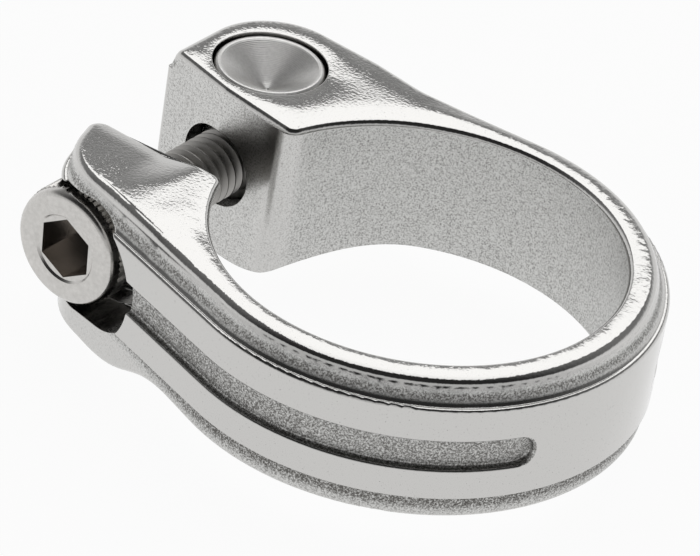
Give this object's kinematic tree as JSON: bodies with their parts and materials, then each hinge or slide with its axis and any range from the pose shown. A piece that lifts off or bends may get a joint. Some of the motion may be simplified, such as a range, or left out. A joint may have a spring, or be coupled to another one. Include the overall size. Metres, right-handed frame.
{
  "type": "seatpost clamp",
  "caption": "Split ring clamp for a bicycle seat tube, with an inner lip on top and two ears drawn together by a socket head screw in a barrel nut.",
  "frame": {"origin": "bore axis at the underside of the ring", "axes": "+Z along the bore axis towards the lip, +X away from the slot, +Y along the screw from its head to the nut"},
  "size_m": [0.0447, 0.035, 0.0134],
  "materials": {
    "cast_stainless": "cast stainless steel, blasted all over and polished on the raised lands",
    "nut_stainless": "turned stainless steel",
    "screw_stainless": "cold-headed stainless steel"
  },
  "bodies": {
    "band": {"clamp_band": "cast_stainless"},
    "nut": {"barrel_nut": "nut_stainless"},
    "screw": {"clamp_screw": "screw_stainless"}
  },
  "joints": [
    {"name": "nut_swivel", "type": "hinge", "parent": "band", "child": "nut", "pos_m": [-0.02085, 0.00924, 0.00415], "axis": [0, 0, 1], "range_deg": [-1.2, 2.5]},
    {"name": "screw_turn", "type": "hinge", "parent": "nut", "child": "screw", "pos_m": [-0.02085, 0, 0.00415], "axis": [0, 1, 0], "continuous": true}
  ]
}
